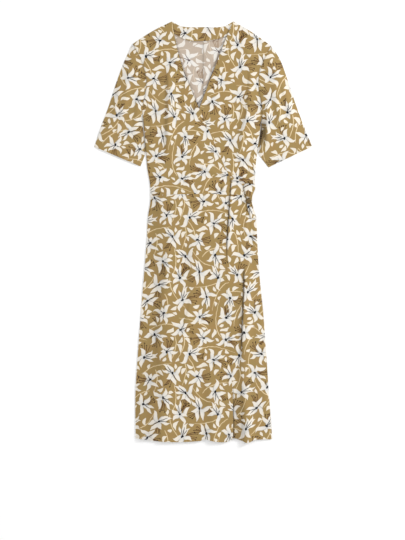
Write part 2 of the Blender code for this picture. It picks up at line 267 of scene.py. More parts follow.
def ripple(across, height):  # slight unevenness of cloth that was smoothed out by hand
    waves = [  # radians to a millimetre across and up, start, size
        (0.031, 0.011, 0.4, 0.35),
        (-0.017, 0.027, 1.9, 0.35),
        (0.052, -0.013, 3.1, 0.2),
        (0.009, 0.047, 5.0, 0.22),
    ]
    return sum(size * np.sin(byX * across + byY * height + start) for byX, byY, start, size in waves)


hem = dict(
    deep=18.0,  # how far up it is sewn
    dip=0.45,  # how its stitches pull the cloth in
    dipReach=1.8,
    swell=0.35,  # how the turned cloth stands up
    swellReach=4,
)


def hemRelief(away):  # away is the distance from the cloth's edge
    dip = hem["dip"] * np.exp(-(((away - hem["deep"]) / hem["dipReach"]) ** 2))
    swell = hem["swell"] * smoothStep((hem["deep"] - away) / hem["swellReach"])
    return swell * smoothStep(away / 2 + 0.3) - dip


def bodyPuff(across, height):  # the fronts come down to the back at the side seams
    room = np.minimum(across - sideSeam("left", height), sideSeam("right", height) - across)
    past = smoothStep((height - underarm["left"][1] + cloth["sleeveRoom"] / 2) / cloth["sleeveRoom"])
    shoulder = np.where(across < 0, shoulderHeight("left", across), shoulderHeight("right", across))
    room = np.minimum(mix(room, cloth["sleeveRoom"], past), shoulder - height)
    return cloth["puff"] * (1 - np.exp(-np.maximum(room, 0) / cloth["puffReach"]))


def backLevel(across, height):  # outer side of the back, which faces the floor
    return np.full(np.shape(across), cloth["rest"])


def insideLevel():  # top of the back
    return cloth["rest"] + cloth["wall"]


def flatLevel(across, height):  # top of a front with no folds, where it lies on the back
    return insideLevel() + cloth["gap"] + cloth["wall"] + bodyPuff(across, height)


def underLevel(across, height):
    shown = smoothStep((across - overEdge(height) + 0.5) / 1.5)
    lift = foldLift(underFolds, across, height) + creaseLift(underCreases, across, height)
    hidden = 0.4 * foldLift(overFolds, across, height)
    turned = hemRelief(height - curveThrough(underHemRows, across)) * shown
    return flatLevel(across, height) + mix(hidden, lift, shown) + 0.5 * ripple(across, height) + turned


def overLevel(across, height):
    step = smoothStep((across - underEdge(height) + 24) / 22)  # up onto the under front
    lift = foldLift(overFolds, across, height) + creaseLift(overCreases, across, height)
    turned = hemRelief(height - curveThrough(overHemRows, across))
    flat = flatLevel(across, height) + step * (cloth["wall"] + cloth["gap"])
    return flat + lift + 0.5 * ripple(across, height) + turned


print("shapes ready")

# The print: hand-drawn lilies, loose leaves, stems and stamens, charted as strokes in one repeat.
# A stroke has a start, a run to its head, a bend, a swing and a width.
printCloth = dict(
    repeatWide=405.0,
    repeatHigh=390.0,
    seed=7,
    lilies=40,
    vines=34,
    slots=dict(thin=4, petal=7, dot=3),  # how many strokes of each group one face can show
    crisp=110.0,  # how sharp a stroke's sides and ends are
    crispEnds=400.0,
)
# petals of each kind of lily: angle, length, width, bend, swing
lilyKinds = [
    [(-24, 34, 10.0, -0.16, 0.5), (-3, 42, 10.5, 0.1, -0.5), (18, 36, 10.0, 0.22, 0.5),
     (72, 31, 13.5, 0.42, 0.6), (138, 21, 12.5, -0.24, 0.2), (192, 38, 13.0, -0.36, -0.8),
     (290, 33, 12.5, -0.4, 0.5)],
    [(-12, 38, 10.5, -0.2, 0.5), (9, 43, 10.5, 0.14, -0.6), (64, 37, 13.5, -0.34, 0.8),
     (116, 23, 11.5, 0.34, 0.2), (172, 36, 12.5, 0.42, 0.5), (236, 28, 13.0, -0.3, -0.5),
     (314, 29, 12.0, 0.4, 0.4)],
    [(40, 36, 12.5, 0.26, -0.5), (72, 38, 12.0, -0.2, 0.5), (134, 25, 12.5, 0.42, 0.3),
     (197, 33, 10.0, 0.2, 0.5), (217, 39, 10.5, -0.12, -0.5), (238, 32, 10.0, -0.26, 0.5),
     (322, 36, 13.0, -0.4, 0.8)],
    [(-20, 38, 12.5, 0.28, 0.5), (8, 31, 11.0, -0.16, 0.5), (82, 34, 13.0, -0.42, -0.8),
     (150, 20, 13.5, 0.15, 0.0), (209, 34, 12.5, 0.44, 0.5), (272, 37, 12.5, -0.3, 0.6)],
    [(-29, 30, 10.5, -0.26, 0.5), (-8, 38, 10.5, -0.12, -0.5), (13, 42, 10.5, 0.14, 0.5),
     (36, 32, 10.5, 0.3, 0.4), (108, 29, 13.5, 0.42, 0.5), (178, 34, 12.5, -0.36, -0.8),
     (252, 29, 13.0, 0.4, 0.5)],
    [(-11, 40, 12.0, -0.2, 0.6), (15, 37, 11.5, 0.24, -0.5), (90, 33, 12.5, 0.44, 0.5),
     (142, 34, 12.5, -0.26, 0.5), (206, 23, 13.5, 0.24, 0.1), (278, 36, 13.0, -0.4, -0.8)],
]
# dark lines drawn out of the heart: angle, length
lilyVeins = [
    [(-14, 26), (8, 28), (48, 13)],
    [(-2, 28), (-24, 17), (28, 20)],
    [(56, 24), (207, 27), (228, 26)],
    [(-7, 22), (26, 18), (108, 14)],
    [(-19, 24), (3, 28), (25, 24)],
    [(2, 27), (30, 18), (116, 20)],
]
stamenFans = [(-58, -28), (22, 54), (84, 122), (24, 66), (50, 92), (34, 76)]  # between these angles
lily = dict(
    size=(0.88, 1.03),
    stamens=4,
    stamenLength=(33, 42),
    stamenBend=(0.08, 0.2),
    stamenWidth=1.7,
    antherLength=5.4,
    antherWidth=2.5,
    heartLength=8.6,
    heartWidth=6.0,
    veinWidth=1.9,
    petalBack=2,  # how far a petal starts behind the heart
    petalWide=0.97,
    petalBend=0.95,
    petalSwing=2.2,
)
spread = dict(tries=60, pushes=60, push=0.08, room=75, shift=3)  # how the lilies find their places
vine = dict(
    length=(52, 84),
    bend=(0.5, 0.9),
    width=2.6,
    apart=9.0,
    leavesAt=(1.0, 0.78, 0.56, 0.34, 0.12),  # shares of its length
    leaves=((37, 12.5), (30, 11.0), (22, 9.5), (15, 8.0)),  # the first that has room: length, width
    leafCurl=(0.5, 0.95),
    leafAngle=(0.45, 0.9),
    tries=6000,
)
# loose leaves: length, width, curl, swing, most
leafSizes = [
    (46, 13.5, 0.15, 2.3, 30),
    (38, 13.5, 0.85, 0.6, 36),
    (38, 12.5, 0.3, 2.1, 34),
    (30, 12.0, 0.8, 0.5, 40),
    (28, 11.5, 0.4, 1.8, 40),
    (21, 10.0, 0.7, 0.8, 38),
    (15, 8.0, 0.4, 0.5, 30),
]
leafTries = 3600
# belly, taper, hook, and whether the run goes to the head (1) or off along the start (0)
strokeShape = dict(thin=(0.9, 0.25, 2.0, 0.0), petal=(0.85, 1.2, 2.4, 1.0), dot=(1.0, 0.5, 2.0, 0.0))
thinTone = dict(stamen=0.0, vine=1.0)
petalTone = dict(leaf=0.0, petal=1.0)
dotTone = dict(anther=0.0, vein=0.85, heart=1.0)


def stroke(group, x, y, runX, runY, bend, swing, width, tone):
    return (group, x, y, runX, runY, bend, swing, width, tone)


def bowAt(group, bend, swing, share):
    hook, lean = strokeShape[group][2:]
    return bend * (share**hook - lean * share) + 0.6 * swing * share * (1 - share) * (1 - 2 * share)


def halfWidthAt(group, width, share):
    belly, taper = strokeShape[group][:2]
    body = np.clip(share, 0, 1) ** belly
    return 0.5 * width * (4 * body * (1 - body)) ** taper


def drawLily(kind, x, y, turn, size, flip, dice):
    strokes = []

    def dash(middleX, middleY, angle, length, width, tone):
        headX, headY = math.cos(angle) * length / 2, math.sin(angle) * length / 2
        strokes.append(stroke("dot", middleX - headX, middleY - headY, 2 * headX, 2 * headY, 0, 0, width, tone))

    fanStart, fanEnd = stamenFans[kind]
    for index in range(lily["stamens"]):
        fan = mix(fanStart, fanEnd, (index + 0.5) / lily["stamens"])
        angle = math.radians(turn + flip * fan + dice.uniform(-2, 2))
        length = dice.uniform(*lily["stamenLength"]) * size
        runX, runY = math.cos(angle) * length, math.sin(angle) * length
        bend = flip * dice.uniform(*lily["stamenBend"])
        startX, startY = x + runX * 0.3, y + runY * 0.3
        width, tone = lily["stamenWidth"], thinTone["stamen"]
        strokes.append(stroke("thin", startX, startY, runX * 0.7, runY * 0.7, bend, 0, width, tone))
        tipX, tipY = x + runX - runY * 0.7 * bend, y + runY + runX * 0.7 * bend
        angle += math.radians(60 * flip)
        dash(tipX, tipY, angle, lily["antherLength"], lily["antherWidth"], dotTone["anther"])
    for petalAngle, length, width, bend, swing in lilyKinds[kind]:
        angle = math.radians(turn + flip * petalAngle)
        alongX, alongY = math.cos(angle), math.sin(angle)
        back = lily["petalBack"]
        run = length * size + back
        strokes.append(stroke(
            "petal", x - back * alongX, y - back * alongY, run * alongX, run * alongY,
            lily["petalBend"] * flip * bend, lily["petalSwing"] * flip * swing,
            lily["petalWide"] * width * size, petalTone["petal"],
        ))
    angle = math.radians(turn + flip * 60 + dice.uniform(-30, 30))
    dash(x, y, angle, lily["heartLength"], lily["heartWidth"], dotTone["heart"])
    for veinAngle, length in lilyVeins[kind]:
        angle = math.radians(turn + flip * veinAngle)
        runX, runY = length * size * math.cos(angle), length * size * math.sin(angle)
        strokes.append(stroke("dot", x, y, runX, runY, 0, 0.2, lily["veinWidth"], dotTone["vein"]))
    return strokes


class Repeat:  # one repeat of the print, with a map of what is already inked
    def __init__(self, wide, high, seed):
        self.wide, self.high = wide, high
        self.dice = random.Random(seed)
        self.strokes = []
        self.hearts = []  # where each lily sits
        self.cell = 1.5
        self.columns, self.rows = int(wide / self.cell), int(high / self.cell)
        self.inked = np.zeros((self.rows, self.columns), bool)

    def spots(self, mark, margin, ends=0.04):
        group, x, y, runX, runY, bend, swing, width, tone = mark
        length = math.hypot(runX, runY)
        steps = max(8, int(length / self.cell * 1.3))
        share = np.linspace(-ends, 1 + ends, steps)[:, None]
        inside = np.clip(share, 0, 1)
        side = np.linspace(-1, 1, 11)[None, :]
        off = length * bowAt(group, bend, swing, inside) + side * (halfWidthAt(group, width, inside) + margin)
        spotX = x + runX * share - runY / length * off
        spotY = y + runY * share + runX / length * off
        columns = np.floor(spotX / self.cell).astype(int) % self.columns
        rows = np.floor(spotY / self.cell).astype(int) % self.rows
        return rows, columns

    def free(self, mark, margin):
        return not self.inked[self.spots(mark, margin)].any()

    def add(self, mark, margin):
        self.strokes.append(mark)
        self.inked[self.spots(mark, margin)] = True

    def anywhere(self):
        x, y = self.dice.uniform(0, self.wide), self.dice.uniform(0, self.high)
        return x, y, self.dice.uniform(0, 2 * math.pi)

    def spreadLilies(self, count):
        apart = lambda a, b: math.hypot(
            (a[0] - b[0] + self.wide / 2) % self.wide - self.wide / 2,
            (a[1] - b[1] + self.high / 2) % self.high - self.high / 2,
        )
        places = []
        nearest = lambda place: min([apart(place, other) for other in places], default=1)
        for _ in range(count):
            tries = [self.anywhere()[:2] for _ in range(spread["tries"])]
            places.append(max(tries, key=nearest))
        room, push = spread["room"], spread["push"]
        for _ in range(spread["pushes"]):  # they push each other apart
            moved = []
            for place in places:
                pushX = pushY = 0
                for other in places:
                    far = apart(place, other)
                    if 0 < far < room:
                        awayX = (place[0] - other[0] + self.wide / 2) % self.wide - self.wide / 2
                        awayY = (place[1] - other[1] + self.high / 2) % self.high - self.high / 2
                        pushX += awayX / far * (room - far)
                        pushY += awayY / far * (room - far)
                moved.append(((place[0] + push * pushX) % self.wide, (place[1] + push * pushY) % self.high))
            places = moved
        shift = spread["shift"]
        for index, (x, y) in enumerate(places):
            x, y = x + self.dice.uniform(-shift, shift), y + self.dice.uniform(-shift, shift)
            self.hearts.append((x, y))
            turn, size = self.dice.uniform(0, 360), self.dice.uniform(*lily["size"])
            flip = self.dice.choice((-1, 1))
            for mark in drawLily(index % len(lilyKinds), x, y, turn, size, flip, self.dice):
                if mark[0] == "thin":  # a leaf may hide part of a stamen
                    self.strokes.append(mark)
                else:
                    self.add(mark, 0.3)
        petals = np.zeros_like(self.inked)
        for mark in self.strokes:
            if mark[0] == "petal":
                petals[self.spots(mark, 0.0)] = True
        for mark in [mark for mark in self.strokes if mark[-1] == dotTone["anther"] and mark[0] == "dot"]:
            if petals[self.spots(mark, 0.5)].any():  # a neighbour's petal covers it
                self.strokes.remove(mark)

    def growVines(self, count):  # long arcs that pass behind the flowers, with a curled leaf here and there
        taken = np.zeros_like(self.inked)  # where no vine may run
        for mark in self.strokes:
            if mark[0] != "petal":
                taken[self.spots(mark, 1.2)] = True
        made = 0
        for _ in range(vine["tries"]):
            if made >= count:
                break
            x, y, turn = self.anywhere()
            length = self.dice.uniform(*vine["length"])
            bend = self.dice.choice((-1, 1)) * self.dice.uniform(*vine["bend"])
            runX, runY = math.cos(turn) * length, math.sin(turn) * length
            arc = stroke("thin", x, y, runX, runY, bend, 0, vine["width"], thinTone["vine"])
            spots = self.spots(arc, 1.0)
            if taken[spots].any() or self.inked[spots].mean() > 0.4:
                continue
            taken[self.spots(arc, vine["apart"])] = True
            for share in vine["leavesAt"]:
                side = self.dice.choice((-1, 1)) if share < 1 else 0
                startX = x + runX * share - runY * bend * share**2
                startY = y + runY * share + runX * bend * share**2
                leafTurn = turn + math.atan(2 * bend * share) + side * self.dice.uniform(*vine["leafAngle"])
                for run, wide in vine["leaves"]:
                    curl = (-side or math.copysign(1, bend)) * self.dice.uniform(*vine["leafCurl"])
                    leaf = stroke(
                        "petal", startX, startY, math.cos(leafTurn) * run, math.sin(leafTurn) * run,
                        curl, -curl * 1.5, wide, petalTone["leaf"],
                    )
                    if self.free(leaf, 0.3):
                        self.add(leaf, 0.8)
                        break
            self.add(arc, 0.2)
            made += 1

    def scatterLeaves(self, sizes):
        for length, width, curl, swing, most in sizes:
            made = 0
            for _ in range(leafTries):
                if made >= most:
                    break
                x, y, turn = self.anywhere()
                run = length * self.dice.uniform(0.92, 1.08)
                way = self.dice.choice((-1, 1))
                leaf = stroke(
                    "petal", x, y, math.cos(turn) * run, math.sin(turn) * run,
                    way * curl * self.dice.uniform(0.6, 1.2), -way * swing * self.dice.uniform(0.5, 1.2),
                    width * self.dice.uniform(0.85, 1.1), petalTone["leaf"],
                )
                if self.free(leaf, 0.3):
                    self.add(leaf, 0.5)
                    made += 1


repeat = Repeat(printCloth["repeatWide"], printCloth["repeatHigh"], printCloth["seed"])
repeat.spreadLilies(printCloth["lilies"])
repeat.growVines(printCloth["vines"])
repeat.scatterLeaves(leafSizes)
print("print charted:", len(repeat.strokes), "strokes in the repeat")


def inkFaces(mesh, centres, reach):  # gives each face the strokes that cross it
    slots = printCloth["slots"]
    blank = lambda: {group: np.zeros((len(centres), slots[group], 4), np.float32) for group in slots}
    places, shapes = blank(), blank()
    used = {group: np.zeros(len(centres), int) for group in slots}
    low, high = centres.min(0), centres.max(0)
    order = np.lexsort((centres[:, 0], centres[:, 1]))
    sortedY = centres[order, 1]
    for group, x, y, runX, runY, bend, swing, width, tone in repeat.strokes:
        length = math.hypot(runX, runY)
        far = length * 1.2 + width + reach
        stepsX, stepsY = (
            range(math.floor((low[k] - far - at) / size), math.ceil((high[k] + far - at) / size) + 1)
            for k, at, size in ((0, x, repeat.wide), (1, y, repeat.high))
        )
        for stepX in stepsX:
            for stepY in stepsY:
                startX, startY = x + stepX * repeat.wide, y + stepY * repeat.high
                first, last = np.searchsorted(sortedY, (startY - far, startY + far))
                near = order[first:last]
                near = near[np.abs(centres[near, 0] - startX) < far]
                if not len(near):
                    continue
                awayX, awayY = centres[near, 0] - startX, centres[near, 1] - startY
                share = (awayX * runX + awayY * runY) / length**2
                side = (runX * awayY - runY * awayX) / length
                inside = np.clip(share, 0, 1)
                off = np.abs(side - length * bowAt(group, bend, swing, inside))
                past = np.maximum(np.abs(share - 0.5) - 0.5, 0) * length
                crossed = (off < halfWidthAt(group, width, inside) + reach) & (past < reach)
                hit = near[crossed]
                hit = hit[used[group][hit] < slots[group]]
                slot = used[group][hit]
                places[group][hit, slot] = (startX, startY, runX / length**2, runY / length**2)
                shapes[group][hit, slot] = (bend, swing, 0.5 * width / length, tone)
                used[group][hit] += 1
    for group, number in slots.items():
        for slot in range(number):
            for kind, table in (("Place", places), ("Shape", shapes)):
                layer = mesh.attributes.new(f"{group}{kind}{slot}", "FLOAT_COLOR", "FACE")
                layer.data.foreach_set("color", table[group][:, slot].ravel())


def nodeMath(operation, swapped=False):  # a Python operator that adds one Math node
    def apply(value, other=0.0):
        first, second = (other, value) if swapped else (value, other)
        return value.maker.math(operation, first, second)

    return apply


class Value:  # a socket that Python expressions can work on
    def __init__(self, maker, socket):
        self.maker, self.socket = maker, socket

    __add__ = __radd__ = nodeMath("ADD")
    __sub__, __rsub__ = nodeMath("SUBTRACT"), nodeMath("SUBTRACT", swapped=True)
    __mul__ = __rmul__ = nodeMath("MULTIPLY")
    __truediv__ = nodeMath("DIVIDE")
    __pow__ = nodeMath("POWER")
    __abs__ = nodeMath("ABSOLUTE")

    def clamped(self):
        return self.maker.math("ADD", self, 0.0, clamp=True)


def setShader(shader, values):
    for socket, value in values.items():
        shader.inputs[socket].default_value = value


class Maker:  # adds nodes to one material
    def __init__(self, name, roughness, sheen):
        self.material = bpy.data.materials.new(name)
        self.material.use_nodes = True
        self.tree = self.material.node_tree
        self.shader = self.tree.nodes["Principled BSDF"]
        setShader(self.shader, {
            "Roughness": roughness, "Sheen Weight": sheen, "Sheen Roughness": 0.6, "Specular IOR Level": 0.25,
        })

    def node(self, kind, settings=None, inputs=None):
        made = self.tree.nodes.new(kind)
        for key, value in (settings or {}).items():
            setattr(made, key, value)
        for key, value in (inputs or {}).items():
            if isinstance(value, Value):
                self.tree.links.new(value.socket, made.inputs[key])
            else:
                made.inputs[key].default_value = value
        return made

    def math(self, operation, first, second=0.0, clamp=False):
        made = self.node("ShaderNodeMath", dict(operation=operation, use_clamp=clamp), {0: first, 1: second})
        return Value(self, made.outputs[0])

    def blend(self, share, first, second, how="MIX"):
        settings = dict(data_type="RGBA", blend_type=how)
        made = self.node("ShaderNodeMix", settings, {0: share, 6: first, 7: second})
        return Value(self, made.outputs[2])

    def split(self, vector):
        made = self.node("ShaderNodeSeparateXYZ", None, {0: vector})
        return [Value(self, out) for out in made.outputs]

    def attribute(self, name):
        made = self.node("ShaderNodeAttribute", dict(attribute_name=name))
        return [*self.split(Value(self, made.outputs["Vector"])), Value(self, made.outputs["Alpha"])]

    def noise(self, vector, scale, detail=2.0):
        made = self.node("ShaderNodeTexNoise", None, {"Vector": vector, "Scale": scale, "Detail": detail})
        return Value(self, made.outputs["Fac"])

    def finish(self, colour, height, strength, distance):
        self.tree.links.new(colour.socket, self.shader.inputs["Base Color"])
        relief = {"Strength": strength, "Distance": distance, "Height": height}
        bump = self.node("ShaderNodeBump", None, relief)
        self.tree.links.new(bump.outputs[0], self.shader.inputs["Normal"])
        return self.material


def colour(red, green, blue, light=1.0):  # a printed colour, given as a screen shows it
    return (*[light * (part / 255) ** 2.2 for part in (red, green, blue)], 1.0)


inks = dict(
    ground=(167, 140, 90), groundWarm=(182, 137, 84), groundCool=(157, 142, 84),
    leaf=(248, 238, 220), petal=(249, 242, 230), petalCool=(196, 202, 206), petalEdge=(84, 88, 94),
    vine=(238, 214, 170), stamen=(90, 55, 24), anther=(58, 36, 16), heart=(10, 10, 22),
)
reverseInks = dict(
    ground=(203, 186, 168), groundWarm=(206, 184, 166), groundCool=(199, 186, 168),
    leaf=(246, 239, 229), petal=(250, 245, 237), petalCool=(226, 223, 218), petalEdge=(160, 154, 152),
    vine=(226, 208, 186), stamen=(168, 140, 112), anther=(140, 112, 92), heart=(104, 94, 98),
)
albedo = 0.85
drift = dict(fine=420.0, fineReach=0.6, wideX=85.0, wideY=118.0, wideReach=3.4)  # how hand-drawn lines waver
weave = dict(warp=0.00062, weft=0.00054, slubs=900.0, softness=55.0, strength=0.35, distance=0.0006)
# dark brown that the painted shade darkens the cloth's colour towards
paintedShadeColour = (0.07, 0.05, 0.04, 1.0)
# how petals are coloured: the grey at the heart, the dark line down one side, and the leaf's tone at the tip
petalTint = dict(heart=0.6, heartEnds=1.9, line=0.4, lineFrom=0.5, lineEnds=0.7, lineFade=3.0, tip=1.35)


def clothMaterial(name, shades):
    make = Maker(name, roughness=0.82, sheen=0.12)
    shade = {key: colour(*value, light=albedo) for key, value in shades.items()}
    uv = make.node("ShaderNodeUVMap", dict(uv_map="cloth"))
    spot = Value(make, uv.outputs[0])
    metresX, metresY, _ = make.split(spot)
    wobble = (make.noise(spot, drift["fine"], 1.0) - 0.5) * drift["fineReach"]
    sway = make.noise(spot, drift["wideX"], 1.0) - 0.5
    swell = make.noise(spot, drift["wideY"], 0.0) - 0.5
    spotX = metresX * 1000.0 + wobble + sway * drift["wideReach"]
    spotY = metresY * 1000.0 + wobble + swell * drift["wideReach"]
    patches = make.noise(spot, 36.0, 3.0)
    surface = make.blend(patches, shade["groundCool"], shade["groundWarm"])
    surface = make.blend(0.5, surface, shade["ground"])

    def inked(group, slot):
        startX, startY, overX, overY = make.attribute(f"{group}Place{slot}")
        bend, swing, half, tone = make.attribute(f"{group}Shape{slot}")
        awayX, awayY = spotX - startX, spotY - startY
        share = (awayX * overX + awayY * overY).clamped()
        rest = 1.0 - share
        belly, taper, hook, lean = strokeShape[group]
        side = overX * awayY - overY * awayX - bend * (share**hook - share * lean)
        side = side - swing * 0.6 * share * rest * (rest - share)
        body = share**belly
        room = half * (body * (1.0 - body) * 4.0) ** taper
        mask = ((room - abs(side)) * printCloth["crisp"] + 0.5).clamped()
        mask = mask * (half * 1000.0).clamped()  # an empty slot has no width
        mask = mask * (share * rest * printCloth["crispEnds"]).clamped()
        return mask, share, side / (room + 0.0001), tone

    for slot in range(printCloth["slots"]["thin"]):
        mask, share, side, tone = inked("thin", slot)
        surface = make.blend(mask, surface, make.blend(tone, shade["stamen"], shade["vine"]))
    for slot in range(printCloth["slots"]["petal"]):
        mask, share, side, tone = inked("petal", slot)
        cool = (1.0 - share * petalTint["heartEnds"]).clamped() * tone * petalTint["heart"]
        edge = ((side - petalTint["lineFrom"]) * petalTint["lineFade"]).clamped()
        edge = edge * ((petalTint["lineEnds"] - share) * petalTint["lineFade"]).clamped()
        edge = edge * tone * petalTint["line"]
        petal = make.blend(tone * (petalTint["tip"] - share).clamped(), shade["leaf"], shade["petal"])
        petal = make.blend(edge, make.blend(cool, petal, shade["petalCool"]), shade["petalEdge"])
        surface = make.blend(mask, surface, petal)
    for slot in range(printCloth["slots"]["dot"]):
        mask, share, side, tone = inked("dot", slot)
        surface = make.blend(mask, surface, make.blend(tone, shade["anther"], shade["heart"]))

    # painted shade: the creaseShade attribute darkens the colour towards that dark brown
    shadow = make.attribute("creaseShade")[0]
    surface = make.blend(shadow, surface, paintedShadeColour, "MULTIPLY")
    warp = make.math("SINE", metresX * (2 * math.pi / weave["warp"]))
    weft = make.math("SINE", metresY * (2 * math.pi / weave["weft"]))
    threads = warp * weft * 0.5 + make.noise(spot, weave["slubs"], 2.0)
    soft = make.noise(spot, weave["softness"], 3.0)
    return make.finish(surface, threads * 0.35 + soft * 2.2, weave["strength"], weave["distance"])


printedCloth = clothMaterial("printedCloth", inks)
reverseCloth = clothMaterial("reverseCloth", reverseInks)
print("cloth materials made")


def addObject(name, data):
    made = bpy.data.objects.new(name, data)
    bpy.context.collection.objects.link(made)
    return made


def pick(piece):  # the next operators work on this piece alone
    bpy.ops.object.select_all(action="DESELECT")
    bpy.context.view_layer.objects.active = piece
    piece.select_set(True)


def turnFacesOut(merge=None):  # on the picked piece, which is closed
    bpy.ops.object.mode_set(mode="EDIT")
    bpy.ops.mesh.select_all(action="SELECT")
    if merge:
        bpy.ops.mesh.remove_doubles(threshold=merge)
    bpy.ops.mesh.normals_make_consistent(inside=False)
    bpy.ops.object.mode_set(mode="OBJECT")


def finishPiece(piece, wall):  # gives an open sheet its wall, with the reverse of the print inside
    pick(piece)
    if wall:
        thick = piece.modifiers.new("wall", "SOLIDIFY")
        thick.thickness = wall * mm
        thick.offset = -1
        thick.material_offset = 1
        thick.material_offset_rim = 0
        bpy.ops.object.modifier_apply(modifier=thick.name)
        bpy.ops.object.shade_smooth_by_angle(angle=math.radians(50))
    else:
        turnFacesOut(merge=1e-6)
    piece.select_set(False)
    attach(piece, "root")


def keepOffFloor(piece):  # a fold's inner side stays above what it lies on
    for corner in piece.data.vertices:
        corner.co.z = max(corner.co.z, cloth["rest"] * mm)


def faceCorners(grid):
    return np.stack([grid[:-1, :-1], grid[:-1, 1:], grid[1:, 1:], grid[1:, :-1]], axis=2)


def layGrid(name, points, clothSpots, shade=None, wall=cloth["wall"], wraps=False, flipFaces=False):
    rows, columns = points.shape[:2]
    index = np.arange(rows * columns).reshape(rows, columns)
    if wraps:  # its cloth spots already hold the column that closes it
        index = np.concatenate([index, index[:, :1]], axis=1)
    corners = faceCorners(index).reshape(-1, 4)
    spots = faceCorners(clothSpots).reshape(-1, 4, 2)
    if flipFaces:
        corners, spots = corners[:, ::-1], spots[:, ::-1]
    mesh = bpy.data.meshes.new(name)
    mesh.from_pydata((points.reshape(-1, 3) * mm).tolist(), [], corners.tolist())
    uv = mesh.uv_layers.new(name="cloth")
    uv.data.foreach_set("uv", (spots * mm).astype(np.float32).ravel())
    centres = spots.mean(axis=1)
    reach = np.linalg.norm(spots - centres[:, None], axis=2).max(axis=1)
    inkFaces(mesh, centres, float(np.percentile(reach, 98)) + 1.5)
    # painted shade at each corner, kept in the creaseShade attribute for the material
    shades = np.zeros(rows * columns) if shade is None else shade.ravel()
    mesh.attributes.new("creaseShade", "FLOAT", "POINT").data.foreach_set("value", shades.astype(np.float32))
    piece = addObject(name, mesh)
    mesh.materials.append(printedCloth)
    mesh.materials.append(reverseCloth)
    mesh.shade_smooth()
    finishPiece(piece, wall)
    return piece


def stepsWith(count, corners=()):
    shares = np.linspace(0, 1, count + 1)
    for corner in corners:
        nearest = 1 + np.argmin(np.abs(shares[1:-1] - corner))
        shares[nearest] = corner
    return shares


def panelSpots(leftEdge, rightEdge, bottomAt, topAt, columns, rows):
    left, right = np.array(leftEdge(rows)), np.array(rightEdge(rows))
    share, up = columns[None, :], rows[:, None]
    across = mix(left[0][:, None], right[0][:, None], share)
    height = mix(left[1][:, None], right[1][:, None], share)
    bottomX, topX = across[0], across[-1]
    bottomY, topY = height[0].copy(), height[-1].copy()
    lift = (1 - up) * (bottomAt(bottomX) - bottomY)[None, :]
    return across, height + lift + up * (topAt(topX) - topY)[None, :]


def bodySide(side):
    def edge(up):
        foot = bodiceWaist(sideSeam(side, waist["height"]))
        low = mix(foot, underarm[side][1], np.clip(up * 2, 0, 1))
        armX, armY = armhole(side, np.clip(up * 2 - 1, 0, 1))
        lower = up <= 0.5
        return np.where(lower, sideSeam(side, low), armX), np.where(lower, low, armY)

    return edge


def bodiceHeight(waistX, top, up):  # its middle row is level with the underarm
    foot, middle = bodiceWaist(waistX), underarm["left"][1]
    return np.where(up <= 0.5, mix(foot, middle, up * 2), mix(middle, top, up * 2 - 1))


def frontEdge(edgeAt, waistX):
    def edge(up):
        height = bodiceHeight(waistX, neckPeak["left"][1], up)
        return edgeAt(height), height

    return edge


def backSeam(across):
    return lambda up: (np.full(np.shape(up), across), bodiceHeight(across, backTop(across), up))


def skirtEdge(edgeAt, hemAt):
    def edge(up):
        height = mix(hemAt(edgeAt(backHem)), skirtWaist(edgeAt(waist["height"])), up)
        return edgeAt(height), height

    return edge


# Lines of painted shade where a crisp fold or an edge darkens the cloth, and broad bands of painted shade where
# a part lies darker. Rows: across, height, strength, half width.
shadeLines = dict(
    wrap=[(79, 160, 0.0, 1.6), (78.8, 147, 1.0, 2.0), (75.4, 100, 1.0, 2.2), (72.4, 49, 1.0, 2.2),
          (68.4, -10, 1.0, 2.0), (66.9, -50, 0.6, 1.8), (67, -80, 0.0, 1.4)],
    deep=[(117, -100, 0.0, 1.4), (116, -122, 0.8, 2.0), (115, -171, 1.0, 2.0), (111.5, -250, 1.0, 2.0),
          (109.3, -311, 1.0, 2.0), (109, -345, 0.45, 2.8), (108, -380, 0.0, 4.0)],
    hemChannel=[(98, -440, 0.0, 12.0), (98, -490, 0.2, 12.0), (98, -560, 0.28, 11.0), (98, -606, 0.28, 11.0)],
    deepSide=[(108, -150, 0.0, 6.0), (104, -250, 0.1, 7.0), (110, -330, 0.2, 8.0), (110, -400, 0.2, 9.0),
              (112, -470, 0.26, 7.0), (111, -560, 0.3, 7.0), (110, -606, 0.28, 7.0)],
    hemWrap=[(85.5, -430, 0.0, 1.6), (86, -480, 0.7, 2.2), (87, -560, 0.8, 2.6), (87.5, -606, 0.8, 2.6)],
    bodice=[(118, 470, 0.0, 6.0), (113, 400, 0.13, 6.0), (108, 330, 0.16, 6.0), (96, 240, 0.13, 6.0),
            (92, 190, 0.0, 6.0)],
    underarm=[(172, 345, 0.0, 3.0), (171, 320, 0.5, 4.0), (168, 250, 0.6, 4.0), (162, 200, 0.3, 4.0),
              (158, 180, 0.0, 4.0)],
)
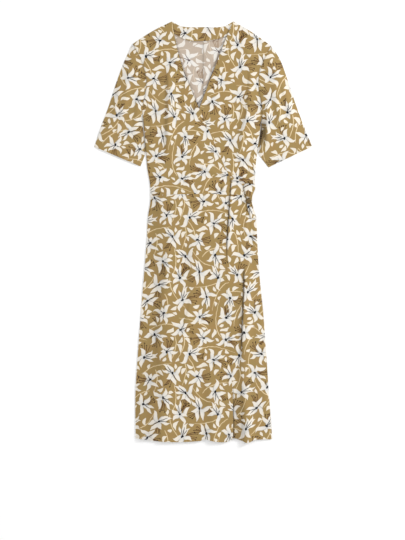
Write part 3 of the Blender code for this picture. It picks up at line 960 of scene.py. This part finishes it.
overShadeLines = dict(
    bodice=[(-108, 480, 0.0, 5.0), (-107, 420, 0.13, 5.0), (-108, 330, 0.16, 5.0), (-111, 230, 0.12, 5.0),
            (-112, 190, 0.0, 5.0)],
    side=[(-176, 352, 0.0, 2.2), (-172.5, 320, 0.6, 2.6), (-166, 240, 0.75, 2.6), (-161.5, 195, 0.5, 2.4),
          (-160, 180, 0.0, 2.0)],
    sideways=[(-140, 150, 0.0, 25), (-135, 90, 0.12, 25), (-130, 0, 0.12, 24), (-128, -100, 0.17, 18),
              (-128, -200, 0.19, 20), (-130, -300, 0.18, 28), (-142, -400, 0.18, 30), (-150, -500, 0.16, 36),
              (-150, -606, 0.16, 36)],
    middle=[(-39, 20, 0.0, 10), (-39, -50, 0.13, 10), (-39, -150, 0.1, 10), (-42, -230, 0.0, 10)],
    low=[(8, -330, 0.0, 12), (8, -400, 0.09, 12), (10, -500, 0.12, 12), (10, -606, 0.1, 12)],
    skirt=[(-104, 10, 0.0, 5.0), (-108, -60, 0.08, 5.0), (-121, -171, 0.14, 5.0), (-138, -314, 0.14, 5.0),
           (-126, -408, 0.1, 5.0), (-127, -500, 0.08, 5.0), (-130, -606, 0.16, 6.0)],
)


def lineShade(lines, across, height):
    dark = np.zeros(np.shape(across))
    for rows in lines.values():
        onLine, strong, wide = (columnAt(rows, 1, column, height) for column in (0, 2, 3))
        dark = np.maximum(dark, np.clip(strong, 0, 1) * np.exp(-(((across - onLine) / wide) ** 2)))
    return dark


# strength and reach of the painted shade along the armhole seams
armholeSeam = dict(dark=0.32, reach=2.4)
neckShadow = dict(  # what the fronts throw on the back inside the neck
    slope=0.92,  # of the neck's edges, so that a reach is square to them
    under=0.62, underReach=2.6,
    over=0.45, overReach=3.0,
    starts=330, startReach=20,
    fades=520, fadeReach=70, fade=0.75,
)
backSeamShade = dict(line=0.4, lineReach=1.7, band=0.1, bandReach=9)
facingShade = dict(dark=0.45, reach=2.5, half=80)


def armholePaintedShade(across, height):  # painted shade along the armhole seams, where cloth dips into them
    dark = np.zeros(np.shape(across))
    for side, inwards in (("left", 1), ("right", -1)):
        share = (height - underarm[side][1]) / (shoulderTip[side][1] - underarm[side][1])
        away = (across - armhole(side, np.clip(share, 0, 1))[0]) * inwards
        dip = np.exp(-((away / armholeSeam["reach"]) ** 2))
        dark = np.maximum(dark, armholeSeam["dark"] * (share > 0) * dip)
    return dark


def neckShade(across, height):
    look = neckShadow
    toUnder = (underEdge(height) - across) * look["slope"]
    toOver = (across - overEdge(height)) * look["slope"]
    under = look["under"] * np.exp(-np.maximum(toUnder, 0) / look["underReach"])
    over = look["over"] * np.exp(-np.maximum(toOver, 0) / look["overReach"])
    above = smoothStep((height - look["starts"]) / look["startReach"])
    faded = 1 - look["fade"] * smoothStep((height - look["fades"]) / look["fadeReach"])
    return np.maximum(under, over) * above * faded


def backPaintedShade(across, height):  # painted shade along the centre back seam, where the two halves meet, and under the facing
    line = backSeamShade["line"] * np.exp(-((across / backSeamShade["lineReach"]) ** 2))
    band = backSeamShade["band"] * np.exp(-((across / backSeamShade["bandReach"]) ** 4))
    below = np.maximum(curveThrough(facingRows, across) - height, 0)
    facing = facingShade["dark"] * np.exp(-below / facingShade["reach"])
    facing = facing * (np.abs(across) < facingShade["half"])
    return np.clip(np.maximum.reduce([line, band, facing, neckShade(across, height)]), 0, 1)


# painted shade of the under front: its shade lines and the armhole seams
def underPaintedShade(across, height):
    return np.maximum(lineShade(shadeLines, across, height), armholePaintedShade(across, height))


# painted shade of the over front: its shade lines and the armhole seams
def overPaintedShade(across, height):
    return np.maximum(lineShade(overShadeLines, across, height), armholePaintedShade(across, height))


# how far the print is moved on: height, distance
foldShiftRows = [(-95, 0), (-180, 13), (-260, 15), (-330, 10), (-390, 0)]
wrapShiftRows = [(160, 24), (60, 20), (-20, 12), (-70, 0), (-380, 0), (-470, 10), (-600, 18)]


def foldShift(across, height):  # cloth that a fold hides moves the print to its right along
    past = smoothStep((across - columnAt(shadeLines["deep"], 1, 0, height) + 1) / 2)
    return curveThrough(foldShiftRows, height) * past


def wrapShift(height):  # how far the under front's print is from meeting the over front's
    return curveThrough(wrapShiftRows, height)


def makePanel(
    name, node, leftEdge, rightEdge, bottomAt, topAt, size, levelAt, spotOf,
    corners=(), faceDown=False, dark=None,
):
    columns = stepsWith(int(size[0] / cloth["mesh"]), corners)
    rows = stepsWith(int(size[1] / cloth["mesh"]), (0.5,))
    across, height = panelSpots(leftEdge, rightEdge, bottomAt, topAt, columns, rows)
    points = np.stack([across, height, levelAt(across, height)], axis=-1)
    spots = np.stack(spotOf(across, height), axis=-1)
    # painted shade for the panel, where it has any
    shade = None if dark is None else dark(across, height)
    piece = layGrid(name, points, spots, shade, flipFaces=faceDown)
    if faceDown and dark:  # only its inside is shaded, and the wall's own corners come after the grid's
        dim = piece.data.attributes["creaseShade"].data
        shades = np.zeros(len(dim), np.float32)
        dim.foreach_get("value", shades)
        shades[: shade.size] = 0
        dim.foreach_set("value", shades)
    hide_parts(node)
    return piece


def offsetBy(x, y):
    return lambda across, height: (across + x, height + y)


def mirroredBy(x, y):  # the back's right side faces the floor
    return lambda across, height: (x - across, height + y)


def underSpots(across, height):
    return across + 400 + foldShift(across, height) + wrapShift(height), height + 900


leftSeam, rightSeam = partial(sideSeam, "left"), partial(sideSeam, "right")
overHem, underHem = partial(curveThrough, overHemRows), partial(curveThrough, underHemRows)
halfGap = cloth["seamGap"] / 2


def flatHem(across):
    return np.full(np.shape(across), backHem)


frontBodiceOver = makePanel(
    "frontBodiceOver", "front_bodice_over",
    leftEdge=bodySide("left"), rightEdge=frontEdge(overEdge, float(overEdge(waist["height"]))),
    bottomAt=bodiceWaist, topAt=partial(shoulderHeight, "left"),
    size=(235, 500), levelAt=overLevel, spotOf=offsetBy(120, 830), dark=overPaintedShade,
)
frontBodiceUnder = makePanel(
    "frontBodiceUnder", "front_bodice_under",
    leftEdge=frontEdge(underEdge, underlap["waist"]), rightEdge=bodySide("right"),
    bottomAt=bodiceWaist, topAt=partial(shoulderHeight, "right"),
    size=(245, 500), levelAt=underLevel, spotOf=offsetBy(640, 1015), dark=underPaintedShade,
)
print("bodice fronts laid")

frontSkirtOver = makePanel(
    "frontSkirtOver", "front_skirt_over",
    leftEdge=skirtEdge(leftSeam, overHem), rightEdge=skirtEdge(overEdge, overHem),
    bottomAt=overHem, topAt=skirtWaist,
    size=(270, 705), levelAt=overLevel, spotOf=offsetBy(400, 900), dark=overPaintedShade,
)
frontSkirtUnder = makePanel(
    "frontSkirtUnder", "front_skirt_under",
    leftEdge=skirtEdge(underEdge, underHem), rightEdge=skirtEdge(rightSeam, underHem),
    bottomAt=underHem, topAt=skirtWaist,
    size=(285, 705), levelAt=underLevel, spotOf=underSpots, dark=underPaintedShade,
)
print("skirt fronts laid")

backSkirt = makePanel(
    "backSkirt", "back_skirt",
    leftEdge=skirtEdge(leftSeam, flatHem), rightEdge=skirtEdge(rightSeam, flatHem),
    bottomAt=flatHem, topAt=skirtWaist,
    size=(360, 695), levelAt=backLevel, spotOf=mirroredBy(900, 1400), faceDown=True,
)
tipX, peakX = shoulderTip["left"][0], neckPeak["left"][0]
backBodiceLeft = makePanel(
    "backBodiceLeft", "back_bodice_left",
    leftEdge=bodySide("left"), rightEdge=backSeam(-halfGap), bottomAt=bodiceWaist, topAt=backTop,
    size=(185, 490), levelAt=backLevel, spotOf=mirroredBy(700, 1300),
    corners=((peakX - tipX) / -tipX,), faceDown=True, dark=backPaintedShade,
)
tipX, peakX = shoulderTip["right"][0], neckPeak["right"][0]
backBodiceRight = makePanel(
    "backBodiceRight", "back_bodice_right",
    leftEdge=backSeam(halfGap), rightEdge=bodySide("right"), bottomAt=bodiceWaist, topAt=backTop,
    size=(180, 490), levelAt=backLevel, spotOf=mirroredBy(745, 1212),
    corners=(peakX / tipX,), faceDown=True, dark=backPaintedShade,
)
print("backs laid")


def facingSide(edgeAt, past, low):
    def edge(up):
        height = mix(low, neckPeak["left"][1] - 1, up)
        return edgeAt(height) + past, height

    return edge


neckFacing = makePanel(
    "backNeckFacing", "back_neck_facing",
    leftEdge=facingSide(overEdge, -4, 569), rightEdge=facingSide(underEdge, 4, 561),
    bottomAt=partial(curveThrough, facingRows), topAt=lambda across: curveThrough(backNeckRows, across) - 0.3,
    size=(180, 40), levelAt=lambda across, height: insideLevel() + 0.75 + 0 * across,
    spotOf=offsetBy(300, 300), dark=neckShade,
)
print("neck facing laid")

# sleeves, from the armhole (0) to the hem (1): along, outer across and height, inner across and height
sleeveRows = dict(
    left=[
        (0.00, -201, 538, -175.4, 355),
        (0.18, -224, 492, -174.3, 330),
        (0.40, -249.5, 424, -171.9, 298),
        (0.62, -272, 355, -168.3, 264),
        (0.84, -298, 286, -164.8, 229),
        (1.00, -311, 244, -179.5, 188),
    ],
    right=[
        (0.00, 194, 532, 171.4, 352),
        (0.18, 220, 492, 168.6, 328),
        (0.40, 243, 429, 164.6, 296),
        (0.62, 268, 355, 159.4, 262),
        (0.84, 294, 287, 155.2, 229),
        (1.00, 311, 245, 186.5, 185),
    ],
)
sleeve = dict(
    outer=315,  # its outer edge's length
    inner=205,
    puff=1.9,  # how far it rises past its start
    puffWithin=0.25,
    start=4.8,
    flatten=0.75,  # it lies flatter towards its hem
    flattenFrom=0.5,
    flattenWithin=0.45,
    round=9,  # at its two folds
    swellWithin=26,
    joinWithin=22,  # where it comes up out of the bodice
    rings=62,
    across=48,
)
# start across and height, end across and height, reach, rise
sleeveCreases = dict(
    left=[
        (-206, 480, -240, 262, 16, 3.0),
        (-232, 440, -262, 300, 12, 1.8),
        (-182, 420, -196, 250, 12, 2.2),
        (-178, 340, -172, 232, 7, 2.0),
    ],
    right=[
        (200, 462, 226, 250, 16, 3.0),
        (226, 430, 262, 300, 12, 1.8),
        (184, 400, 181, 236, 12, 4.5),
        (206, 380, 246, 262, 13, 1.8),
    ],
)
sleeveShadeLines = dict(
    left=dict(
        inner=[(-173, 345, 0.0, 3.0), (-170, 300, 0.5, 4.0), (-166, 240, 0.6, 4.0), (-163, 215, 0.0, 4.0)],
    ),
    right=dict(
        deep=[(173, 326, 0.0, 6.0), (173, 308, 0.5, 8.0), (173, 262, 0.5, 8.0), (171, 244, 0.0, 8.0)],
        edge=[(168, 320, 0.0, 3.0), (166.5, 300, 0.8, 4.0), (163, 255, 0.8, 4.0), (160, 225, 0.0, 4.0)],
    ),
)


def sleeveEdges(side, along):  # outer across and height, inner across and height
    return [columnAt(sleeveRows[side], 0, column, along) for column in (1, 2, 3, 4)]


def makeSleeve(side):
    inwards = 1 if side == "left" else -1
    along = np.linspace(0, 1, sleeve["rings"] + 1)[:, None]
    outerX, outerY, innerX, innerY = sleeveEdges(side, along)
    even = np.linspace(0, 1, sleeve["across"] + 1)
    share = mix(even, 0.5 - 0.5 * np.cos(np.pi * even), 0.5)[None, :]  # finer near the folds
    across = mix(innerX, outerX, share) + inwards * armholeBow * (1 - along) ** 2 * np.sin(np.pi * share)
    height = mix(innerY, outerY, share)
    edge = np.minimum(share, 1 - share) * np.hypot(outerX - innerX, outerY - innerY)
    rounding = np.sqrt(np.clip(1 - (1 - np.clip(edge / sleeve["round"], 0, 1)) ** 2, 0, 1))
    thin = 2 * cloth["wall"] + cloth["gap"]
    swell = sleeve["puff"] * smoothStep(along / sleeve["puffWithin"]) + sleeve["start"] - thin
    flatter = smoothStep((along - sleeve["flattenFrom"]) / sleeve["flattenWithin"])
    swell = swell * (1 - sleeve["flatten"] * flatter) * smoothStep(edge / sleeve["swellWithin"])
    folds = creaseLift(sleeveCreases[side], across, height) + 0.4 * ripple(across, height)
    turned = hemRelief((1 - along) * sleeve["outer"])
    upper = cloth["rest"] + thin / 2 + (thin / 2 + swell + folds + turned) * rounding
    bodyLevel = (overLevel if side == "left" else underLevel)(across, height)
    upper = mix(bodyLevel, upper, smoothStep(along * sleeve["inner"] / sleeve["joinWithin"]))
    lower = cloth["rest"] + thin / 2 * (1 - rounding)
    top = np.stack([across, height, upper], axis=-1)
    bottom = np.stack([across, height, lower], axis=-1)[:, ::-1]
    points = np.concatenate([top, bottom[:, 1:-1]], axis=1)
    # the cloth's own coordinates are square to the sleeve, and unroll it over its outer fold
    fallX, fallY = float(outerX[0, 0] - outerX[-1, 0]), float(outerY[0, 0] - outerY[-1, 0])
    turn = math.atan2(fallY, fallX) - math.pi / 2
    squareX = across * math.cos(turn) + height * math.sin(turn)
    squareY = height * math.cos(turn) - across * math.sin(turn)
    foldX = squareX[:, -1:]
    under = np.stack([2 * foldX - squareX, squareY], axis=-1)[:, ::-1]
    spots = np.concatenate([np.stack([squareX, squareY], axis=-1), under[:, 1:]], axis=1)
    spots = spots + (1000 + 350 * inwards, 900)
    # painted shade on the sleeve's upper layer only, along its folds and its armhole seam
    upperPaintedShade = np.maximum(lineShade(sleeveShadeLines[side], across, height), armholePaintedShade(across, height))
    dark = np.concatenate([upperPaintedShade, 0 * upperPaintedShade[:, 1:-1]], axis=1)
    piece = layGrid("sleeve" + side.capitalize(), points, spots, dark, wraps=True, flipFaces=side == "right")
    keepOffFloor(piece)
    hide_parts("sleeve_" + side)
    return piece


sleeveLeft = makeSleeve("left")
sleeveRight = makeSleeve("right")
print("sleeves laid")

# the tie: a doubled strip, knotted at the side of the waist
tie = dict(
    wall=1.3,
    clear=0.15,  # above the cloth that it lies on
    bridge=2.0,  # it lies over what is this far above and below it
    strap=[(78.2, 147, 164), (95, 146.2, 162.2), (115, 142.5, 156.5), (132, 139.6, 153)],  # across, low, high
    # height, left, right
    loop=[(95.5, 124, 134), (105, 120, 140), (118, 116, 146), (129, 114, 149), (135, 116, 148),
          (138.5, 121, 143)],
    end=[(40, 135, 151), (52, 131, 147), (66, 127, 141), (81, 124, 135)],
)


def makeBand(name, node, rows, lengthways, columns, levelAt, shift, dark):
    at = np.linspace(rows[0][0], rows[-1][0], columns[0] + 1)[:, None]
    low, high = (columnAt(rows, 0, column, at) for column in (1, 2))
    share = np.linspace(0, 1, columns[1] + 1)[None, :]
    aside = mix(low, high, share)
    along = np.broadcast_to(at, aside.shape)
    runsAcross = lengthways == "across"
    across, height = (along, aside) if runsAcross else (aside, along)
    rounding = np.sin(np.pi * share) ** 0.5
    points = np.stack([across, height, levelAt(across, height, share, rounding)], axis=-1)
    spots = np.stack([across + shift[0], height + shift[1]], axis=-1)
    piece = layGrid(name, points, spots, dark(across, height, share), tie["wall"], flipFaces=runsAcross)
    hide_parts(node)
    return piece


def lilyAt(index, across, height):  # lays the print so that one lily sits there
    return repeat.hearts[index][0] - across, repeat.hearts[index][1] - height


def tieLevel(across, height):  # its top where it lies on the under front and bridges the creases
    near = (height - tie["bridge"], height, height + tie["bridge"])
    lies = np.maximum.reduce([underLevel(across, at) for at in near])
    return lies + tie["clear"] + tie["wall"]


def strapLevel(across, height, share, rounding):
    return tieLevel(across, height) + 0.2 * rounding + 0.35 * np.sin(across * 0.21 + height * 0.3) ** 2


def loopClimb(height):  # from the knot (0) to the loop's top (1)
    return (height - tie["loop"][0][0]) / (tie["loop"][-1][0] - tie["loop"][0][0])


def loopLevel(across, height, share, rounding):
    climb = loopClimb(height)
    folds = 0.7 * np.sin(np.pi * 3 * share + 0.6) * (1 - smoothStep(climb * 1.1))
    rise = 0.8 + 1.5 * np.sin(np.pi * np.clip(climb, 0, 1)) ** 0.7
    return tieLevel(across, height) + rounding * rise + (0.4 + folds * 0.6) * rounding


def endLevel(across, height, share, rounding):
    folds = 0.35 * np.sin(np.pi * 2.5 * share + 0.4) * smoothStep((height - 48) / 30)
    rise = 0.5 * rounding * smoothStep((height - tie["end"][0][0]) / 20)
    return tieLevel(across, height) + 0.35 + rise + folds


# painted shade along the strap's lower edge and towards the knot
def strapPaintedShade(across, height, share):
    return 0.5 * np.exp(-((share / 0.1) ** 2)) + 0.3 * smoothStep((across - 124) / 8)


# painted shade along the loop's left edge, in one fold, and where it comes out of the knot
def loopPaintedShade(across, height, share):
    climb = loopClimb(height)
    folds = 0.3 * np.exp(-(((share - mix(0.42, 0.3, climb)) / 0.09) ** 2)) * (1 - smoothStep(climb * 1.3))
    edge = 0.6 * np.exp(-((share / 0.1) ** 2))
    return np.clip(edge + folds + 0.75 * np.exp(-np.clip(climb, 0, 1) * 14), 0, 0.9)


# painted shade along the end's left edge and under the knot
def endPaintedShade(across, height, share):
    return np.clip(0.5 * np.exp(-((share / 0.12) ** 2)) + 0.7 * smoothStep((height - 76) / 6), 0, 0.9)


tieStrap = makeBand(
    "tieStrap", "tie_strap", tie["strap"], "across", (34, 10), strapLevel, lilyAt(1, 97, 154), strapPaintedShade
)
tieLoop = makeBand(
    "tieLoop", "tie_loop", tie["loop"], "height", (28, 20), loopLevel, lilyAt(8, 134, 137), loopPaintedShade
)
tieEnd = makeBand(
    "tieEnd", "tie_end", tie["end"], "height", (26, 10), endLevel, lilyAt(12, 130, 72.5), endPaintedShade
)
knot = dict(
    middle=(129.0, 88.0, 7.0),
    halfSize=(8.6, 6.4, 3.75),
    turn=-0.25,
    ribs=0.09,
    ground=(131.5, 140.0),  # a part of the print with no lily
    clothAround=48,
    clothDown=7,
    rings=22,
    around=36,
)


def makeKnot():  # the tie wrapped once round itself
    down = np.linspace(-1, 1, knot["rings"] + 1)[:, None]
    turn = np.linspace(0, 2 * np.pi, knot["around"], endpoint=False)[None, :]
    bulge = np.clip(1 - np.abs(down) ** 3.2, 0, 1) ** 0.42
    ribs = np.sin(11 * down + 1.6 * np.cos(turn))
    folds = 1 + knot["ribs"] * ribs * bulge
    flatX, flatZ = (
        np.sign(wave) * np.abs(wave) ** 0.8 * bulge * folds * half
        for wave, half in ((np.cos(turn), knot["halfSize"][0]), (np.sin(turn), knot["halfSize"][2]))
    )
    flatY = down * knot["halfSize"][1] * (1 + 0.06 * np.cos(turn)) + 0 * turn
    cos, sin = math.cos(knot["turn"]), math.sin(knot["turn"])
    points = np.stack([
        knot["middle"][0] + flatX * cos - flatY * sin,
        knot["middle"][1] + flatX * sin + flatY * cos,
        knot["middle"][2] + flatZ + 0 * flatY,
    ], axis=-1)
    unrolled = np.linspace(0, knot["clothAround"], knot["around"] + 1)[None, :]
    spots = np.stack([unrolled + 0 * down, down * knot["clothDown"] + 0 * unrolled], axis=-1) + knot["ground"]
    # painted shade: darker overall, in the grooves between its ribs, towards its ends and on its underside
    dark = np.clip(0.84 - 0.24 * ribs + 0.15 * np.abs(down) ** 3 - 0.25 * np.sin(turn), 0.3, 0.95)
    piece = layGrid("tieKnot", points, spots, dark, wraps=True, wall=0)
    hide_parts("tie_knot")
    return piece


tieKnot = makeKnot()
print("tie knotted")

# rows of small stitches
stitch = dict(pitch=3.4, length=2.3, width=0.42, height=0.16)
# corners of one stitch, as shares of its length, width and height, and its faces
stitchCorners = [
    (-0.5, 0, -0.3), (-0.3, 0.5, 0.2), (-0.3, -0.5, 0.2), (0.3, 0.5, 0.2),
    (0.3, -0.5, 0.2), (0.5, 0, -0.3), (0, 0, 1),
]
stitchFaces = [
    (0, 2, 6), (0, 6, 1), (1, 6, 3), (2, 4, 6), (3, 6, 5),
    (4, 5, 6), (0, 1, 3), (0, 3, 5), (0, 5, 4), (0, 4, 2),
]
thread = Maker("thread", roughness=0.7, sheen=0.1)
setShader(thread.shader, {"Base Color": colour(*inks["ground"], light=0.66)})


def sewRow(name, path, levelAt):  # path is the row's points: across, height
    path = np.asarray(path, float)
    lengths = np.hypot(*np.diff(path, axis=0).T)
    far = np.concatenate([[0], np.cumsum(lengths)])
    starts = np.arange(stitch["pitch"] / 2, far[-1] - stitch["pitch"], stitch["pitch"])
    middles = np.stack([np.interp(starts, far, path[:, k]) for k in (0, 1)], axis=-1)
    ahead = np.stack([np.interp(starts + 1, far, path[:, k]) for k in (0, 1)], axis=-1) - middles
    ahead /= np.linalg.norm(ahead, axis=1)[:, None]
    aside = ahead[:, ::-1] * (-1, 1)
    level = levelAt(middles[:, 0], middles[:, 1])
    points = []
    for along, side, up in stitchCorners:
        flat = middles + ahead * along * stitch["length"] + aside * side * stitch["width"]
        points.append(np.column_stack([flat, level + stitch["height"] * up]))
    points = np.stack(points, axis=1)
    firsts = range(0, points.shape[0] * points.shape[1], len(stitchCorners))
    faces = [tuple(first + corner for corner in face) for first in firsts for face in stitchFaces]
    mesh = bpy.data.meshes.new(name)
    mesh.from_pydata((points.reshape(-1, 3) * mm).tolist(), [], faces)
    mesh.materials.append(thread.material)
    piece = addObject(name, mesh)
    pick(piece)
    turnFacesOut()
    piece.select_set(False)
    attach(piece, "root")
    return piece


def hemPath(rows, start, end):
    across = np.linspace(start, end, 160)
    return np.stack([across, curveThrough(rows, across) + hem["deep"]], axis=-1)


def onTop(piece):  # how high the piece's upper side is above each spot
    bpy.context.view_layer.update()

    def level(across, height):
        hits = [piece.ray_cast((x * mm, y * mm, 0.05), (0, 0, -1)) for x, y in zip(across, height)]
        return np.array([spot.z / mm if found else 0.0 for found, spot, *_ in hits])

    return level


def sleeveHemPath(side):
    outerX, outerY, innerX, innerY = sleeveEdges(side, 1 - hem["deep"] / sleeve["outer"])
    share = np.linspace(0.03, 0.97, 60)
    return np.stack([mix(innerX, outerX, share), mix(innerY, outerY, share)], axis=-1)


sleeveStitchesLeft = sewRow("sleeveStitchesLeft", sleeveHemPath("left"), onTop(sleeveLeft))
sleeveStitchesRight = sewRow("sleeveStitchesRight", sleeveHemPath("right"), onTop(sleeveRight))
overHemStitches = sewRow("overHemStitches", hemPath(overHemRows, -192, 83), overLevel)
underHemStitches = sewRow("underHemStitches", hemPath(underHemRows, 87, 194), underLevel)
print("hems sewn")
# floor, light and camera
view = dict(distance=4.0, tall=1.5444, centreX=-0.0021, centreY=-0.1083, sensor=36)
lamps = dict(
    keyLight=dict(place=(3.0, 1.4, 1.55), size=1.0, power=79),
    fillLight=dict(place=(-2.6, -0.9, 3.4), size=2.4, power=22),
)
bpy.ops.object.select_all(action="DESELECT")
bpy.ops.mesh.primitive_plane_add(size=14, location=(0, 0, 0))
floor = bpy.context.object
floor.name = "floor"
paleFloor = Maker("paleFloor", roughness=0.9, sheen=0.0)
setShader(paleFloor.shader, {"Base Color": (0.98, 0.98, 0.98, 1), "Specular IOR Level": 0.0})
floor.data.materials.append(paleFloor.material)


def softLight(name, place, size, power):
    data = bpy.data.lights.new(name, "AREA")
    data.shape = "DISK"
    data.size = size
    data.energy = power
    light = addObject(name, data)
    light.location = place
    aim = -light.location.copy()
    aim.y -= 0.1  # at the dress's middle
    light.rotation_euler = aim.to_track_quat("-Z", "Y").to_euler()


for name, lamp in lamps.items():
    softLight(name, **lamp)
world = bpy.data.worlds.new("studio")
bpy.context.scene.world = world
world.use_nodes = True
setShader(world.node_tree.nodes["Background"], {"Color": (1, 1, 1, 1), "Strength": 0.783})
bpy.context.scene.view_settings.view_transform = "Standard"

cameraData = bpy.data.cameras.new("camera")
cameraData.sensor_width = view["sensor"]
cameraData.lens = view["sensor"] * view["distance"] / view["tall"]
camera = addObject("camera", cameraData)
camera.location = (view["centreX"], view["centreY"], view["distance"])
bpy.context.scene.camera = camera
print("stage set")
